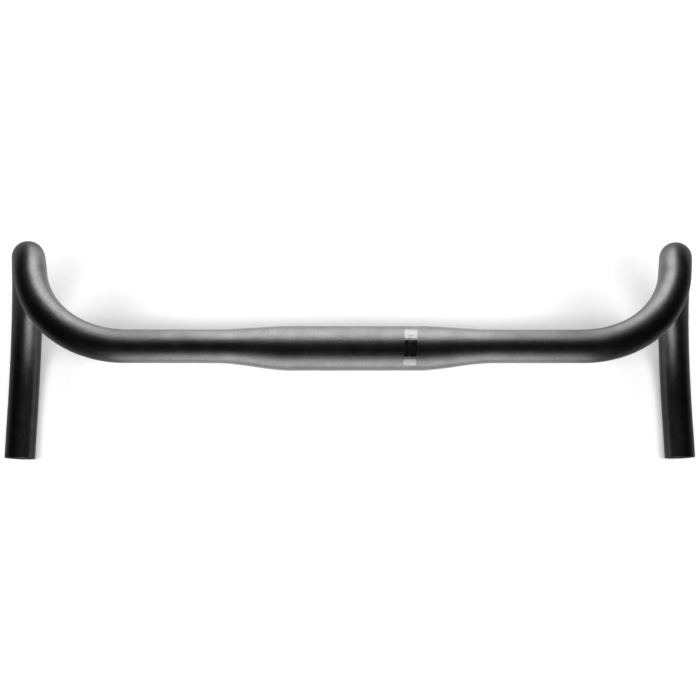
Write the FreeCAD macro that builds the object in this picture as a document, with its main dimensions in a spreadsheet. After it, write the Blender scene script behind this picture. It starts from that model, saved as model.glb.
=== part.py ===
"""Drop handlebar: one bulged, butted and bent aluminium tube with a gloss foil at its stem clamp.

Frame: origin at the middle of the stem clamp on the tube's axis, +X to the rider's right,
+Y forward, +Z up. The drops lie level, so the bar stands on them. Millimetres and degrees.

The tube's centreline is a bending schedule: straight lengths, and arcs that turn from one
heading to the next. Changing a length, a radius or an angle moves everything after it.
"""
import FreeCAD
import Part

import math
import os

# Each size that can be set by itself, with its value.
SIZES = {
    "clamp_diameter": 31.8,
    "clamp_length": 89.0,
    "clamp_wall": 2.2,
    "taper_length": 52.5,
    "tops_rise": 10.0,
    "grip_diameter": 23.8,
    "grip_wall": 1.6,
    "tops_length": 63.0,
    "shoulder_radius": 75.0,
    "ramp_spread": 11.5,
    "ramp_slope": 24.5,
    "ramp_length": 0.5,
    "upper_hook_radius": 33.0,
    "hook_flare": 11.0,
    "hook_lean": -21.0,
    "hook_length": 10.0,
    "lower_hook_radius": 111.0,
    "drop_spread": 1.8,
    "drop_length": 34.5,
    "end_chamfer": 0.4,
    "foil_thickness": 0.1,
    "foil_length": 8.8,
    "foil_inset": 1.3,
    "foil_chord": 24.7,
    "foil_skew": 2.6,
    "foil_turn": 4.5,
    "tick_count": 13,
    "tick_pitch": 5.0,
    "tick_width": 0.55,
    "short_tick": 2.0,
    "long_tick": 3.4,
}
TAPER_STEPS = 8       # sections of the taper's loft, less one
LONG_TICK_EVERY = 3   # every third mark of the scale is a long one
OVERRUN = 2.0         # how far a cutting body runs past what it cuts

doc = FreeCAD.newDocument("drop_handlebar")
sheet = doc.addObject("Spreadsheet::Sheet", "Sizes")
for row, (alias, value) in enumerate(SIZES.items(), start=1):
    sheet.set(f"A{row}", alias)
    sheet.set(f"B{row}", str(value))
    sheet.setAlias(f"B{row}", alias)
doc.recompute()


def size(alias):
    """The value of a named size, read back from the sheet."""
    return float(getattr(sheet, alias))


def add(kind, name, placement=None, **expressions):
    """A document object whose sizes are bound to the sheet; `name` is its name and its label."""
    thing = doc.addObject(kind, name)
    thing.Label = name
    for prop, expression in expressions.items():
        thing.setExpression(prop, expression)
    if placement:
        thing.Placement = placement
    return thing


def headings():
    """Unit directions of the right half's straights, in order from the tops to the drop."""
    spread, slope = math.radians(size("ramp_spread")), math.radians(size("ramp_slope"))
    flare, lean = math.radians(size("hook_flare")), math.radians(size("hook_lean"))
    tops = FreeCAD.Vector(1, 0, 0)
    ramp = FreeCAD.Vector(math.sin(spread), math.cos(spread), -math.tan(slope))
    hook = FreeCAD.Vector(math.tan(flare), math.tan(lean), -1)
    drop = FreeCAD.Vector(math.tan(math.radians(size("drop_spread"))), -1, 0)
    return [direction.normalize() for direction in (tops, ramp, hook, drop)]


def along(start, direction):
    """Placement whose +Z runs along `direction` from `start`."""
    return FreeCAD.Placement(start, FreeCAD.Rotation(FreeCAD.Vector(0, 0, 1), direction))


def straight(name, start, direction, length, diameter):
    """A round bar, and the point where it ends. `length` and `diameter` are expressions."""
    bar = add("Part::Cylinder", name, along(start, direction),
              Height=length, Radius=f"({diameter}) / 2")
    doc.recompute()
    return bar, start + direction * bar.Height.Value


def bend(name, start, before, after, radius, diameter):
    """A round bar bent from heading `before` to `after`, and the point where it ends."""
    ring_axis = before.cross(after).normalize()
    inward = ring_axis.cross(before)
    centre = start + inward * size(radius)
    frame = FreeCAD.Rotation(-inward, before, ring_axis, "ZXY")
    turn = math.degrees(before.getAngle(after))
    arc = add("Part::Torus", name, FreeCAD.Placement(centre, frame),
              Radius1=f"Sizes.{radius}", Radius2=f"({diameter}) / 2")
    arc.Angle3 = turn
    end = centre + FreeCAD.Rotation(ring_axis, turn).multVec(start - centre)
    return arc, end


def taper(name, wide, narrow):
    """The swage from the clamp to the tops: circles that shrink and climb on one smooth curve."""
    sections = []
    for step in range(TAPER_STEPS + 1):
        share = step / TAPER_STEPS
        blend = share * share * (3 - 2 * share)
        ring = add("Part::Circle", f"{name}_ring_{step}",
                   Radius=f"(({wide}) * (1 - {blend}) + ({narrow}) * {blend}) / 2")
        x = size("clamp_length") / 2 + share * size("taper_length")
        ring.Placement = along(FreeCAD.Vector(x, 0, blend * size("tops_rise")),
                               FreeCAD.Vector(1, 0, 0))
        sections.append(ring)
    loft = add("Part::Loft", name)
    loft.Sections = sections
    loft.Solid = True
    return loft


def run(name, wide, narrow, overrun=0.0):
    """The whole bar as a solid of the given clamp and grip diameters, both halves joined."""
    tops, ramp, hook, drop = headings()
    point = FreeCAD.Vector(size("clamp_length") / 2 + size("taper_length"), 0, size("tops_rise"))
    pieces = [taper(f"{name}_taper", wide, narrow)]
    schedule = [
        ("tops", tops, "tops_length", ramp, "shoulder_radius"),
        ("ramp", ramp, "ramp_length", hook, "upper_hook_radius"),
        ("hook", hook, "hook_length", drop, "lower_hook_radius"),
    ]
    for label, direction, length, after, radius in schedule:
        bar, point = straight(f"{name}_{label}", point, direction, f"Sizes.{length}", narrow)
        arc, point = bend(f"{name}_{label}_bend", point, direction, after, radius, narrow)
        pieces += [bar, arc]
    bar, point = straight(f"{name}_drop", point, drop, f"Sizes.drop_length + {overrun}", narrow)
    pieces.append(bar)

    right = add("Part::MultiFuse", f"{name}_right")
    right.Shapes = pieces
    left = add("Part::Mirroring", f"{name}_left")
    left.Source = right
    left.Normal = (1, 0, 0)
    middle_start = FreeCAD.Vector(-size("clamp_length") / 2, 0, 0)
    middle, _ = straight(f"{name}_clamp", middle_start, tops, "Sizes.clamp_length", wide)
    whole = add("Part::MultiFuse", f"{name}_whole")
    whole.Shapes = [middle, right, left]
    return whole


def bar_tube():
    """The aluminium tube: outside less bore, with both edges of each open end chamfered."""
    outside = run("outside", "Sizes.clamp_diameter", "Sizes.grip_diameter")
    bore = run("bore", "Sizes.clamp_diameter - 2 * Sizes.clamp_wall",
               "Sizes.grip_diameter - 2 * Sizes.grip_wall", OVERRUN)
    hollow = add("Part::Cut", "hollow_tube")
    hollow.Base = outside
    hollow.Tool = bore
    doc.recompute()

    rear = hollow.Shape.BoundBox.YMin
    reach = 2 * math.tan(math.radians(size("drop_spread"))) * size("grip_diameter")
    ends = [index for index, edge in enumerate(hollow.Shape.Edges, start=1)
            if edge.BoundBox.YMax < rear + reach + size("end_chamfer")
            and isinstance(edge.Curve, Part.Circle)]
    tube = add("Part::Chamfer", "bar_tube")
    tube.Base = hollow
    tube.Edges = [(index, size("end_chamfer"), size("end_chamfer")) for index in ends]
    return tube


def clamp_foil():
    """The gloss foil beside the stem's seat, with the marks of its scale cut through it."""
    clamp_radius = "Sizes.clamp_diameter / 2"
    centre_x = size("clamp_length") / 2 - size("foil_inset") - size("foil_length") / 2
    centre = FreeCAD.Vector(centre_x, 0, 0)
    skew = FreeCAD.Rotation(FreeCAD.Vector(0, 0, 1), -size("foil_skew"))
    sideways = FreeCAD.Vector(1, 0, 0)

    outer = add("Part::Cylinder", "foil_outer", Radius=f"{clamp_radius} + Sizes.foil_thickness",
                Height="2 * Sizes.foil_length")
    inner = add("Part::Cylinder", "foil_inner", Radius=clamp_radius,
                Height="2 * Sizes.foil_length")
    for cylinder in (outer, inner):
        cylinder.Placement = along(FreeCAD.Vector(centre_x - size("foil_length"), 0, 0), sideways)
    ring = add("Part::Cut", "foil_ring")
    ring.Base = outer
    ring.Tool = inner

    outline = add("Part::Box", "foil_outline", Length="Sizes.foil_length",
                  Width="Sizes.foil_chord", Height="Sizes.clamp_diameter")
    corner = skew.multVec(FreeCAD.Vector(-size("foil_length") / 2, -size("foil_chord") / 2, 0))
    outline.Placement = FreeCAD.Placement(centre + corner, skew)
    patch = add("Part::Common", "foil_patch")
    patch.Base = ring
    patch.Tool = outline

    marks = []
    middle = (int(size("tick_count")) - 1) / 2
    for index in range(int(size("tick_count"))):
        length = "long_tick" if (index - middle) % LONG_TICK_EVERY == 0 else "short_tick"
        mark = add("Part::Box", f"mark_{index + 1:02d}", Length=f"Sizes.{length}",
                   Width="Sizes.tick_width", Height="Sizes.clamp_diameter")
        turn = FreeCAD.Rotation(sideways, (index - middle) * size("tick_pitch"))
        corner = FreeCAD.Vector(-size("long_tick") / 2, -size("tick_width") / 2, 0)
        mark.Placement = FreeCAD.Placement(centre + skew.multVec(turn.multVec(corner)),
                                           skew * turn)
        marks.append(mark)
    scale = add("Part::MultiFuse", "foil_scale")
    scale.Shapes = marks
    foil = add("Part::Cut", "clamp_foil")
    foil.Base = patch
    foil.Tool = scale
    foil.Placement = FreeCAD.Placement(FreeCAD.Vector(),
                                       FreeCAD.Rotation(sideways, size("foil_turn")))
    return foil


def check(parts):
    """Stop before anything is written if a feature failed or a sub-part isn't one sound solid."""
    for thing in doc.Objects:
        if {"Invalid", "Error"} & set(thing.State):
            raise RuntimeError(f"{thing.Label} failed: {thing.State}")
    for part in parts:
        shape = part.Shape
        if shape.isNull() or not shape.isValid() or len(shape.Solids) != 1:
            raise RuntimeError(f"{part.Label} isn't one valid solid")


sub_parts = [bar_tube(), clamp_foil()]
doc.recompute()
check(sub_parts)

os.makedirs("parts", exist_ok=True)
for sub_part in sub_parts:
    sub_part.Shape.exportStep(f"parts/{sub_part.Label}.step")
    box = sub_part.Shape.BoundBox
    print(f"{sub_part.Label}: {sub_part.Shape.Volume:.1f} mm3, "
          f"{box.XLength:.1f} x {box.YLength:.1f} x {box.ZLength:.1f} mm")
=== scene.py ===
"""Drop handlebar: the bead-blasted, black-anodised tube and the gloss foil beside its stem seat.

Frame: metres, origin at the middle of the stem clamp, +X to the rider's right, +Y forward,
+Z up. The drops lie level on the floor. The tube is swept along its bending schedule.
"""
import math

import bmesh
import bpy
from mathutils import Euler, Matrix
from mathutils import Quaternion
from mathutils import Vector


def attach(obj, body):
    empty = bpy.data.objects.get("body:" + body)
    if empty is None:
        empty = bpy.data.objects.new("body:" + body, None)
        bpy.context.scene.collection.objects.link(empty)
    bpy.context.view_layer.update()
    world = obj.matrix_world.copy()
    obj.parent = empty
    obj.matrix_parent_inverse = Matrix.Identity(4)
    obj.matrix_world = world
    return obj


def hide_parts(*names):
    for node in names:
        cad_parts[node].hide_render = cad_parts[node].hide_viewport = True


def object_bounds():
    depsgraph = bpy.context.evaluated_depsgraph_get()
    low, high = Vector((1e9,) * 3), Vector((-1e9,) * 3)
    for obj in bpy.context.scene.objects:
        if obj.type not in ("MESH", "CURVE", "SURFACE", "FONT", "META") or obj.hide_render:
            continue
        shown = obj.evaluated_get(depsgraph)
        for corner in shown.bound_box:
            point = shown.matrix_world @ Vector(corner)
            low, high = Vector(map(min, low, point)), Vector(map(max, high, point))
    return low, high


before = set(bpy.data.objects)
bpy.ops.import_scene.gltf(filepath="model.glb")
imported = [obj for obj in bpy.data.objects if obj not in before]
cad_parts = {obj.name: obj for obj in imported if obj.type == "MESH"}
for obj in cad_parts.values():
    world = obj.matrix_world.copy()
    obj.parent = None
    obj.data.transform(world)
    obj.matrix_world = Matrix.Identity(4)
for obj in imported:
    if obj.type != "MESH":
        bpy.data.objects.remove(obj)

cad_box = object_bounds()

# The tube's cross-sections and lengths, in metres.
CLAMP_RADIUS = 0.0159
CLAMP_BORE = 0.0137
CLAMP_HALF = 0.0445
TAPER_LENGTH = 0.0525
TOPS_RISE = 0.010
GRIP_RADIUS = 0.0119
GRIP_BORE = 0.0103
LIP_ROUNDING = 0.0004

# The bending schedule of the right half: straight lengths and bend radii, in metres.
TOPS_LENGTH = 0.063
SHOULDER_RADIUS = 0.075
RAMP_LENGTH = 0.0005
UPPER_HOOK_RADIUS = 0.033
HOOK_LENGTH = 0.010
LOWER_HOOK_RADIUS = 0.111
DROP_LENGTH = 0.0345

# Where each straight points, in degrees.
RAMP_SPREAD = 11.5
RAMP_SLOPE = 24.5
HOOK_FLARE = 11.0
HOOK_LEAN = -21.0
DROP_SPREAD = 1.8

# The foil, wrapped round the clamp zone's right end, and its scale of marks.
FOIL_CENTRE = 0.0388
FOIL_LENGTH = 0.0088
FOIL_CHORD = 0.0247
FOIL_THICKNESS = 0.0001
FOIL_SKEW = 2.6
FOIL_TURN = 4.5
TICK_COUNT = 13
TICK_PITCH = 5.0
TICK_WIDTH = 0.00055
SHORT_TICK = 0.0020
LONG_TICK = 0.0034
LONG_TICK_EVERY = 3

# How finely the surfaces are divided: steps round the tube and over a lip, metres along the
# straights and the taper, and degrees along the bends and round the foil.
ROUND_STEPS = 96
LIP_STEPS = 5
STRAIGHT_STEP = 0.004
TAPER_STEP = 0.0015
BEND_STEP = 1.75
FOIL_STEP = 2.5

# How the meshes are joined: how near the mirrored halves merge, how near two places count as
# one, the digits that tell the foil's corners apart, and how sharply, in degrees, its faces have
# to meet for an edge that shows.
MERGE_DISTANCE = 0.00001
NEARLY = 0.000001
CORNER_DIGITS = 7
SHARP_ANGLE = 35

# The parts of the tube's closed wall, and the material slot of the bore's finish.
OUTER_WALL = "outer wall"
CUT_LIP = "cut lip"
BORE_WALL = "bore wall"
BORE_SLOT = 1

# The finishes: the two grey levels that each one's colour lies between, and the roughness that
# its unevenness is added to.
TUBE_GREYS = (0.038, 0.062)
TUBE_ROUGHNESS = 0.30
CUT_LIP_GREY = 0.06
BORE_GREYS = (0.030, 0.055)
BORE_ROUGHNESS = 0.42
FOIL_GREYS = (0.002, 0.004)
FOIL_ROUGHNESS = 0.06
FLOOR_GREYS = (0.86, 0.88)
FLOOR_ROUGHNESS = 0.9

# How large the patches of each unevenness are, and how deep the bumps, in metres.
DIMPLE_SIZE = 0.00045
PEBBLE_SIZE = 0.0014
CLOUD_SIZE = 0.012
DIMPLE_DEPTH = 0.0001
STREAK_SIZE = 0.0006
STREAK_DEPTH = 0.00002
DULLING_SIZE = 0.006
TELEGRAPHED_SIZE = 0.0016
TELEGRAPHED_DEPTH = 0.000008
SMEAR_SIZE = 0.004
FLOOR_PATCH_SIZE = 0.4

# Squeezing the places lengthways draws the bore's streaks out along it.
STREAK_SQUEEZE = (1.0, 1.0, 0.02)

# A Mix node has its own sockets for each kind of value. These are the ones for colours.
MIX_SHARE = 0
MIX_FIRST = 6
MIX_SECOND = 7
MIX_RESULT = 2

# The floor: how far it runs out from the clamp, and how many squares it has each way.
FLOOR_REACH = 6.0
FLOOR_SQUARES = 4

# The light walls before (1) and behind (-1) the bar make the tube's long reflections. Each is
# three panels, from the top down: name, lowest and highest point, and radiance. FLOOR_LINE stands
# for the height of the cards.
PANEL_DISTANCE = 0.75
PANEL_WIDTH = 0.54
FLOOR_LINE = None
LIGHT_WALLS = {
    "front": (
        1,
        ("panel_top", 0.75, 1.09, 4.6),
        ("panel", 0.064, 0.75, 12.4),
        ("panel_foot", FLOOR_LINE, 0.064, 9.4),
    ),
    "rear": (
        -1,
        ("panel_top", 0.33, 0.59, 2.2),
        ("panel", 0.134, 0.33, 6.8),
        ("panel_foot", FLOOR_LINE, 0.134, 9.0),
    ),
}

# The cards just over the floor are seen only reflected in the tube's underside. One runs out to
# each wall, one lies under the whole bar, and a small one lies a little over that.
CARD_LIFT = 0.002
CARD_START = 0.34
CARD_RADIANCE = {"front": 6.6, "rear": 9.6}
UNDER_CARD_WIDTH = 1.3
UNDER_CARD_DEPTH = 0.68
UNDER_CARD_RADIANCE = 0.45
MIDDLE_CARD_LIFT = 0.001
MIDDLE_CARD_WIDTH = 0.38
MIDDLE_CARD_RADIANCE = 1.5

# The lamps overhead, aimed at the floor under the clamp: place, width, height and radiance.
OVERHEAD_LAMPS = {
    "overhead_strip": ((0, -0.19, 1.1), 1.3, 0.12, 28.0),
    "overhead_fill": ((0, 0.1, 1.3), 1.4, 1.2, 2.1),
}

# The low lamp at the right. The one at the left is its mirror image.
LOW_LAMP_PLACE = (0.75, -0.02, 0.22)
LOW_LAMP_TARGET = (0.1, 0.02, -0.13)
LOW_LAMP_WIDTH = 0.35
LOW_LAMP_HEIGHT = 0.12
LOW_LAMP_RADIANCE = 15.0

# The grey level of the dim room round it all.
ROOM_GREY = 0.02

# The camera: where it aims, how far off it stands, how it is turned in degrees, and its focal
# length and sensor in millimetres.
AIM = (-0.0033, -0.0012, 0.0)
CAMERA_DISTANCE = 0.9820
CAMERA_TURN = (8.17, -1.04, 0.02)
LENS = 71.28
SENSOR_WIDTH = 36.0


# ---------------------------------------------------------------- the tube's shape

def straight_headings():
    """Unit directions of the right half's straights, from the tops to the drop."""
    spread = math.radians(RAMP_SPREAD)
    tops = (1, 0, 0)
    ramp = (math.sin(spread), math.cos(spread), -math.tan(math.radians(RAMP_SLOPE)))
    hook = (math.tan(math.radians(HOOK_FLARE)), math.tan(math.radians(HOOK_LEAN)), -1)
    drop = (math.tan(math.radians(DROP_SPREAD)), -1, 0)
    return [Vector(direction).normalized() for direction in (tops, ramp, hook, drop)]


def clamp_and_taper(across):
    """Stations from the middle of the clamp to the start of the tops: point, heading, radii."""
    steps = round(CLAMP_HALF / STRAIGHT_STEP)
    stations = [
        (Vector((CLAMP_HALF * step / steps, 0, 0)), across, CLAMP_RADIUS, CLAMP_BORE)
        for step in range(steps + 1)
    ]
    steps = round(TAPER_LENGTH / TAPER_STEP)
    for step in range(1, steps + 1):
        share = step / steps
        blend = share * share * (3 - 2 * share)
        point = Vector((CLAMP_HALF + share * TAPER_LENGTH, 0, blend * TOPS_RISE))
        outer = CLAMP_RADIUS + blend * (GRIP_RADIUS - CLAMP_RADIUS)
        bore = CLAMP_BORE + blend * (GRIP_BORE - CLAMP_BORE)
        stations.append((point, across, outer, bore))
    return stations


def run_straight(stations, length):
    """Adds a straight of grip size, from the last station on."""
    start, heading, _, _ = stations[-1]
    steps = max(1, round(length / STRAIGHT_STEP))
    for step in range(1, steps + 1):
        point = start + heading * (length * step / steps)
        stations.append((point, heading, GRIP_RADIUS, GRIP_BORE))


def run_bend(stations, after, radius):
    """Adds a bend of grip size, from the last station's heading to the heading `after`."""
    start, heading, _, _ = stations[-1]
    axis = heading.cross(after).normalized()
    arm = start - (start + axis.cross(heading) * radius)
    turn = heading.angle(after)
    steps = max(1, round(math.degrees(turn) / BEND_STEP))
    for step in range(1, steps + 1):
        spin = Quaternion(axis, turn * step / steps)
        stations.append((start - arm + spin @ arm, spin @ heading, GRIP_RADIUS, GRIP_BORE))


def right_half():
    """Every station of the right half, from the middle of the clamp to the drop's cut end."""
    tops, ramp, hook, drop = straight_headings()
    stations = clamp_and_taper(tops)
    run_straight(stations, TOPS_LENGTH)
    run_bend(stations, ramp, SHOULDER_RADIUS)
    run_straight(stations, RAMP_LENGTH)
    run_bend(stations, hook, UPPER_HOOK_RADIUS)
    run_straight(stations, HOOK_LENGTH)
    run_bend(stations, drop, LOWER_HOOK_RADIUS)
    run_straight(stations, DROP_LENGTH)
    return stations


def lip_profile(end, heading):
    """Points and radii round the rounded lip of a cut end, from the outside wall to the bore."""
    angles = [math.radians(90 * step / LIP_STEPS) for step in range(LIP_STEPS + 1)]
    outer_edge = [
        (end - heading * (LIP_ROUNDING * (1 - math.sin(angle))),
         GRIP_RADIUS - LIP_ROUNDING * (1 - math.cos(angle)))
        for angle in angles
    ]
    bore_edge = [
        (end - heading * (LIP_ROUNDING * (1 - math.cos(angle))),
         GRIP_BORE + LIP_ROUNDING * (1 - math.sin(angle)))
        for angle in angles
    ]
    return outer_edge + [(end, (GRIP_RADIUS + GRIP_BORE) / 2)] + bore_edge


def carried_sides(stations):
    """One side direction per station, carried along the centreline without twisting."""
    sides = [Vector((0, 0, 1))]
    for (_, before, _, _), (_, after, _, _) in zip(stations, stations[1:]):
        sides.append(before.rotation_difference(after) @ sides[-1])
    return sides


def sweep_rings(stations):
    """(point, heading, side, radius, way along, part of the wall) for each ring of the wall."""
    sides = carried_sides(stations)
    lengths = [0.0]
    for (before, _, _, _), (after, _, _, _) in zip(stations, stations[1:]):
        lengths.append(lengths[-1] + (after - before).length)
    end, heading, _, _ = stations[-1]
    outside = [
        (point, way, side, outer, length, OUTER_WALL)
        for (point, way, outer, _), side, length in zip(stations[:-1], sides, lengths)
    ]
    inside = [
        (point, way, side, bore, length, BORE_WALL)
        for (point, way, _, bore), side, length in zip(stations[:-1], sides, lengths)
    ]
    lip = [
        (point, heading, sides[-1], radius, lengths[-1], CUT_LIP)
        for point, radius in lip_profile(end, heading)
    ]
    return outside + lip + inside[::-1]


def handlebar_tube():
    """The one-piece tube: half of its wall swept in rings, and the other half mirrored."""
    mesh = bpy.data.meshes.new("handlebar_tube")
    shell = bmesh.new()
    place = shell.verts.layers.float_vector.new("tube_place")
    cut = shell.verts.layers.float.new("cut_end")
    rings = []
    for point, heading, side, radius, length, wall in sweep_rings(right_half()):
        ring = []
        for step in range(ROUND_STEPS):
            angle = math.tau * step / ROUND_STEPS
            outward = Quaternion(heading, angle) @ side
            vert = shell.verts.new(point + outward * radius)
            vert[place] = (radius * math.cos(angle), radius * math.sin(angle), length)
            vert[cut] = float(wall == CUT_LIP)
            ring.append(vert)
        rings.append((ring, wall))
    for (ring, wall), (following, next_wall) in zip(rings, rings[1:]):
        for step in range(ROUND_STEPS):
            ahead = (step + 1) % ROUND_STEPS
            face = shell.faces.new((ring[step], following[step], following[ahead], ring[ahead]))
            face.smooth = True
            if BORE_WALL in (wall, next_wall):
                face.material_index = BORE_SLOT
    bmesh.ops.recalc_face_normals(shell, faces=shell.faces)
    shell.to_mesh(mesh)
    shell.free()
    tube = bpy.data.objects.new("handlebar_tube", mesh)
    bpy.context.scene.collection.objects.link(tube)
    mirror = tube.modifiers.new("left_half", "MIRROR")
    mirror.use_axis = (True, False, False)
    mirror.use_clip = True
    mirror.merge_threshold = MERGE_DISTANCE
    return tube


# ---------------------------------------------------------------- the foil's shape

def foil_rows():
    """The foil's rows round the clamp zone: two angles, and the length of the mark in the row."""
    half_tick = math.asin(TICK_WIDTH / 2 / CLAMP_RADIUS)
    reach = math.asin(FOIL_CHORD / 2 / CLAMP_RADIUS)
    middle = (TICK_COUNT - 1) / 2
    rows = []
    last = -reach
    for tick in range(TICK_COUNT):
        centre = math.radians((tick - middle) * TICK_PITCH)
        mark = LONG_TICK if (tick - middle) % LONG_TICK_EVERY == 0 else SHORT_TICK
        rows.append((last, centre - half_tick, 0.0))
        rows.append((centre - half_tick, centre + half_tick, mark))
        last = centre + half_tick
    rows.append((last, reach, 0.0))
    return rows


def divided(start, stop, step):
    """Places from start to stop, no further apart than step, both ends included."""
    count = max(1, math.ceil((stop - start) / step - NEARLY))
    return [start + (stop - start) * place / count for place in range(count + 1)]


def clamp_foil():
    """The thin gloss foil round the top of the clamp zone, with the marks open through it."""
    edge = FOIL_LENGTH / 2
    third = FOIL_LENGTH / 3
    tick_start = -LONG_TICK / 2
    columns = sorted({-edge, -third, tick_start, tick_start + SHORT_TICK,
                      tick_start + LONG_TICK, third, edge})
    skew = math.radians(FOIL_SKEW)
    mesh = bpy.data.meshes.new("foil_with_scale")
    sheet = bmesh.new()
    points = {}

    def corner(across, angle, height):
        """The foil's vertex at a place along the tube, an angle round it and a height over it."""
        key = (round(across, CORNER_DIGITS), round(angle, CORNER_DIGITS), height)
        if key not in points:
            chord = CLAMP_RADIUS * math.sin(angle)
            x = FOIL_CENTRE + across * math.cos(skew) + chord * math.sin(skew)
            y = chord * math.cos(skew) - across * math.sin(skew)
            tilt = math.asin(y / CLAMP_RADIUS) - math.radians(FOIL_TURN)
            radius = CLAMP_RADIUS + height
            points[key] = sheet.verts.new((x, radius * math.sin(tilt), radius * math.cos(tilt)))
        return points[key]

    for low, high, mark in foil_rows():
        places = divided(low, high, math.radians(FOIL_STEP))
        for below, above in zip(places, places[1:]):
            for left, right in zip(columns, columns[1:]):
                if tick_start - NEARLY < left and right < tick_start + mark + NEARLY:
                    continue
                corners = ((left, below), (right, below), (right, above), (left, above))
                sheet.faces.new([corner(*at, FOIL_THICKNESS) for at in corners])
                sheet.faces.new([corner(*at, 0.0) for at in reversed(corners)])
    rims = [rim for rim in sheet.edges if rim.is_boundary]
    tops = {key: vert for key, vert in points.items() if key[2] > 0}
    lower = {vert: points[(key[0], key[1], 0.0)] for key, vert in tops.items()}
    for rim in rims:
        first, second = rim.verts
        if first in lower and second in lower:
            sheet.faces.new((second, first, lower[first], lower[second]))
    bmesh.ops.recalc_face_normals(sheet, faces=sheet.faces)
    for face in sheet.faces:
        face.smooth = True
    sheet.to_mesh(mesh)
    sheet.free()
    mesh.set_sharp_from_angle(angle=math.radians(SHARP_ANGLE))
    foil = bpy.data.objects.new("foil_with_scale", mesh)
    bpy.context.scene.collection.objects.link(foil)
    return foil


# ---------------------------------------------------------------- finishes

class Level:
    """A number that changes over a surface. Sums on levels add Math nodes to the finish."""

    def __init__(self, finish, socket):
        self.finish = finish
        self.socket = socket

    def _maths(self, operation, first, second):
        settings = {"operation": operation}
        return self.finish.level("ShaderNodeMath", settings, {0: first, 1: second})

    def __add__(self, other):
        return self._maths("ADD", self, other)

    def __radd__(self, other):
        return self._maths("ADD", other, self)

    def __sub__(self, other):
        return self._maths("SUBTRACT", self, other)

    def __rsub__(self, other):
        return self._maths("SUBTRACT", other, self)

    def __mul__(self, other):
        return self._maths("MULTIPLY", self, other)

    def __rmul__(self, other):
        return self._maths("MULTIPLY", other, self)


class Finish:
    """A material in the making. Every node is added by `node`."""

    def __init__(self, name):
        self.material = bpy.data.materials.new(name)
        self.material.use_nodes = True
        self.tree = self.material.node_tree
        self.tree.nodes.clear()

    def node(self, kind, settings, sockets):
        """Adds a node: its settings first, then a value or a link for each named socket."""
        added = self.tree.nodes.new(kind)
        for setting, value in settings.items():
            setattr(added, setting, value)
        for name, value in sockets.items():
            if isinstance(value, Level):
                value = value.socket
            if isinstance(value, bpy.types.NodeSocket):
                self.tree.links.new(value, added.inputs[name])
            else:
                added.inputs[name].default_value = value
        return added

    def level(self, kind, settings, sockets, output=0):
        """A node whose output is a number to reckon with."""
        return Level(self, self.node(kind, settings, sockets).outputs[output])

    def surface(self, sockets):
        """The finish's own shader, joined to the output."""
        shader = self.node("ShaderNodeBsdfPrincipled", {}, sockets)
        self.node("ShaderNodeOutputMaterial", {}, {"Surface": shader.outputs["BSDF"]})
        return self.material

    def places(self):
        """Where each point of the surface is, in metres."""
        return self.node("ShaderNodeTexCoord", {}, {}).outputs["Object"]

    def grain(self, places, size, detail=2.0, roughness=0.5):
        """Smooth random levels from 0 to 1, whose patches are about `size` metres across."""
        sockets = {"Vector": places, "Scale": 1 / size, "Detail": detail, "Roughness": roughness}
        return self.level("ShaderNodeTexNoise", {"noise_dimensions": "3D"}, sockets)

    def stepped(self, level, low, high):
        """A level that climbs smoothly from 0 at `low` to 1 at `high`."""
        settings = {"interpolation_type": "SMOOTHSTEP"}
        sockets = {"Value": level, "From Min": low, "From Max": high}
        return self.level("ShaderNodeMapRange", settings, sockets)

    def mixed(self, share, first, second):
        """A colour between two colours, by a level."""
        sockets = {MIX_SHARE: share, MIX_FIRST: first, MIX_SECOND: second}
        return self.node("ShaderNodeMix", {"data_type": "RGBA"}, sockets).outputs[MIX_RESULT]

    def bumped(self, height, depth):
        """The surface's normal, tilted as if a level from 0 to 1 raised it by `depth` metres."""
        sockets = {"Strength": 1.0, "Distance": depth, "Height": height}
        return self.node("ShaderNodeBump", {}, sockets).outputs["Normal"]


def grey(level):
    """A neutral colour."""
    return (level, level, level, 1.0)


def bead_blasted_black():
    """Black anodising over bead-blasted aluminium: fine dimples, and faint cloudiness."""
    finish = Finish("bead_blasted_black_anodising")
    places = finish.places()
    dimples = finish.grain(places, DIMPLE_SIZE)
    pebble = finish.grain(places, PEBBLE_SIZE, detail=3.0, roughness=0.6)
    cloud = finish.grain(places, CLOUD_SIZE, detail=3.0)
    cut_end = finish.level("ShaderNodeAttribute", {"attribute_name": "cut_end"}, {}, output="Fac")
    tone = finish.stepped(pebble * 0.55 + cloud * 0.45, low=0.32, high=0.68)
    darkest, palest = TUBE_GREYS
    colour = finish.mixed(tone, grey(darkest), grey(palest))
    colour = finish.mixed(cut_end * 0.5, colour, grey(CUT_LIP_GREY))
    roughness = TUBE_ROUGHNESS + dimples * 0.05 + pebble * 0.07 + cloud * 0.05 - cut_end * 0.04
    normal = finish.bumped(dimples * 0.5 + pebble * 1.0, DIMPLE_DEPTH)
    return finish.surface({"Base Color": colour, "Metallic": 1.0, "Roughness": roughness,
                           "Normal": normal})


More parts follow.
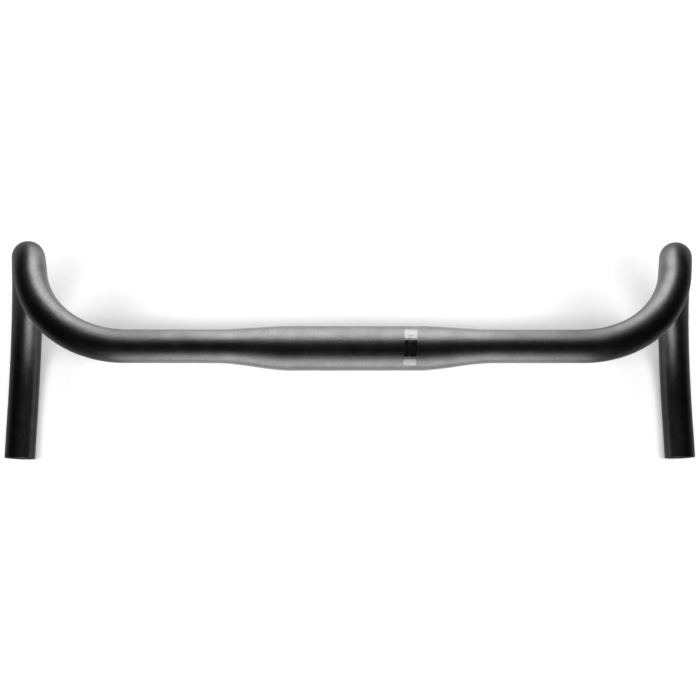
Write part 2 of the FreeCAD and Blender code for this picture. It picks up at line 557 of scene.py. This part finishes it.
def drawn_bore_black():
    """The bore: drawn, not blasted, so it is streaked lengthways under a duller anodising."""
    finish = Finish("drawn_bore_black_anodising")
    attribute = finish.node("ShaderNodeAttribute", {"attribute_name": "tube_place"}, {})
    wrapped = attribute.outputs["Vector"]
    stretched = finish.node("ShaderNodeVectorMath", {"operation": "MULTIPLY"},
                            {0: wrapped, 1: STREAK_SQUEEZE}).outputs["Vector"]
    streaks = finish.grain(stretched, STREAK_SIZE, detail=3.0, roughness=0.6)
    dulling = finish.grain(wrapped, DULLING_SIZE, detail=3.0)
    tone = finish.stepped(streaks * 0.6 + dulling * 0.4, low=0.3, high=0.7)
    darkest, palest = BORE_GREYS
    colour = finish.mixed(tone, grey(darkest), grey(palest))
    roughness = BORE_ROUGHNESS + streaks * 0.16 + dulling * 0.08
    normal = finish.bumped(streaks, STREAK_DEPTH)
    return finish.surface({"Base Color": colour, "Metallic": 1.0, "Roughness": roughness,
                           "Normal": normal})


def gloss_black_foil():
    """Gloss black film, lying so close that the blasted tube shows faintly through its surface."""
    finish = Finish("gloss_black_film")
    places = finish.places()
    telegraphed = finish.grain(places, TELEGRAPHED_SIZE, detail=3.0, roughness=0.6)
    smears = finish.grain(places, SMEAR_SIZE)
    darkest, palest = FOIL_GREYS
    colour = finish.mixed(smears, grey(darkest), grey(palest))
    roughness = FOIL_ROUGHNESS + smears * 0.05
    normal = finish.bumped(telegraphed, TELEGRAPHED_DEPTH)
    return finish.surface({"Base Color": colour, "Roughness": roughness, "IOR": 1.6,
                           "Normal": normal})


# ---------------------------------------------------------------- floor, lights and camera

def pale_floor(height):
    """The matt, near-white floor, which the tube doesn't mirror and which mirrors nothing."""
    finish = Finish("pale_floor")
    darkest, palest = FLOOR_GREYS
    patches = finish.grain(finish.places(), FLOOR_PATCH_SIZE)
    colour = finish.mixed(patches, grey(darkest), grey(palest))
    material = finish.surface({"Base Color": colour, "Roughness": FLOOR_ROUGHNESS,
                               "Specular IOR Level": 0.0})
    mesh = bpy.data.meshes.new("floor")
    flat = bmesh.new()
    bmesh.ops.create_grid(flat, x_segments=FLOOR_SQUARES, y_segments=FLOOR_SQUARES,
                          size=FLOOR_REACH)
    bmesh.ops.translate(flat, verts=flat.verts, vec=(0, 0, height))
    flat.to_mesh(mesh)
    flat.free()
    floor = bpy.data.objects.new("floor", mesh)
    floor.data.materials.append(material)
    bpy.context.scene.collection.objects.link(floor)
    floor.visible_glossy = False


def panel(name, place, target, width, height, radiance, reflected=True, lit=True):
    """A rectangular soft light that faces `target`. It lights surfaces, is reflected, or both."""
    lamp = bpy.data.lights.new(name, "AREA")
    lamp.shape = "RECTANGLE"
    lamp.size = width
    lamp.size_y = height
    lamp.energy = radiance * math.pi * width * height
    light = bpy.data.objects.new(name, lamp)
    light.location = place
    towards = Vector(target) - Vector(place)
    light.rotation_euler = towards.to_track_quat("-Z", "Y").to_euler()
    light.visible_camera = False
    light.visible_glossy = reflected
    light.visible_diffuse = lit
    bpy.context.scene.collection.objects.link(light)


def standing_panel(name, side, low, high, radiance):
    """An upright panel before (side 1) or behind (side -1) the bar, from height low to high."""
    middle = (low + high) / 2
    panel(name, (0, side * PANEL_DISTANCE, middle), (0, 0, middle), PANEL_WIDTH, high - low,
          radiance, lit=False)


def lying_card(name, middle, height, width, depth, radiance):
    """A card that faces up. Its middle lies `middle` metres before the clamp."""
    panel(name, (0, middle, height), (0, middle, height + 1), width, depth, radiance, lit=False)


def studio_lights(floor_height):
    """Panels before and behind the bar for its long reflections, and lamps for the floor."""
    card_height = floor_height + CARD_LIFT
    for wall, (side, *panels) in LIGHT_WALLS.items():
        for name, low, high, radiance in panels:
            low = card_height if low is FLOOR_LINE else low
            standing_panel(f"{wall}_{name}", side, low, high, radiance)
        lying_card(f"{wall}_card", side * (CARD_START + PANEL_DISTANCE) / 2, card_height,
                   PANEL_WIDTH, PANEL_DISTANCE - CARD_START, CARD_RADIANCE[wall])
    lying_card("under_card", 0, card_height, UNDER_CARD_WIDTH, UNDER_CARD_DEPTH,
               UNDER_CARD_RADIANCE)
    lying_card("middle_card", 0, card_height + MIDDLE_CARD_LIFT, MIDDLE_CARD_WIDTH,
               UNDER_CARD_DEPTH, MIDDLE_CARD_RADIANCE)
    for name, (place, width, height, radiance) in OVERHEAD_LAMPS.items():
        panel(name, place, (0, 0, floor_height), width, height, radiance, reflected=False)
    for side, name in ((-1, "left"), (1, "right")):
        place, target = [
            (side * x, y, z) for x, y, z in (LOW_LAMP_PLACE, LOW_LAMP_TARGET)
        ]
        panel(f"{name}_floor_lamp", place, target, LOW_LAMP_WIDTH, LOW_LAMP_HEIGHT,
              LOW_LAMP_RADIANCE, reflected=False)
    world = bpy.data.worlds.new("dim_room")
    world.use_nodes = True
    world.node_tree.nodes["Background"].inputs["Color"].default_value = grey(ROOM_GREY)
    bpy.context.scene.world = world


def overhead_camera():
    """The camera, nearly overhead and a little behind the bar."""
    lens = bpy.data.cameras.new("camera")
    lens.lens = LENS
    lens.sensor_width = SENSOR_WIDTH
    camera = bpy.data.objects.new("camera", lens)
    turned = Euler([math.radians(angle) for angle in CAMERA_TURN], "ZYX")
    camera.rotation_mode = "ZYX"
    camera.rotation_euler = turned
    camera.location = Vector(AIM) + turned.to_matrix() @ Vector((0, 0, CAMERA_DISTANCE))
    bpy.context.scene.collection.objects.link(camera)
    bpy.context.scene.camera = camera


# ---------------------------------------------------------------- the scene

tube = handlebar_tube()
tube.data.materials.append(bead_blasted_black())
tube.data.materials.append(drawn_bore_black())
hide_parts("bar_tube")
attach(tube, "root")

foil = clamp_foil()
foil.data.materials.append(gloss_black_foil())
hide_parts("clamp_foil")
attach(foil, "root")

pale_floor(cad_box[0].z)
studio_lights(cad_box[0].z)
overhead_camera()
bpy.context.scene.view_settings.view_transform = "Standard"
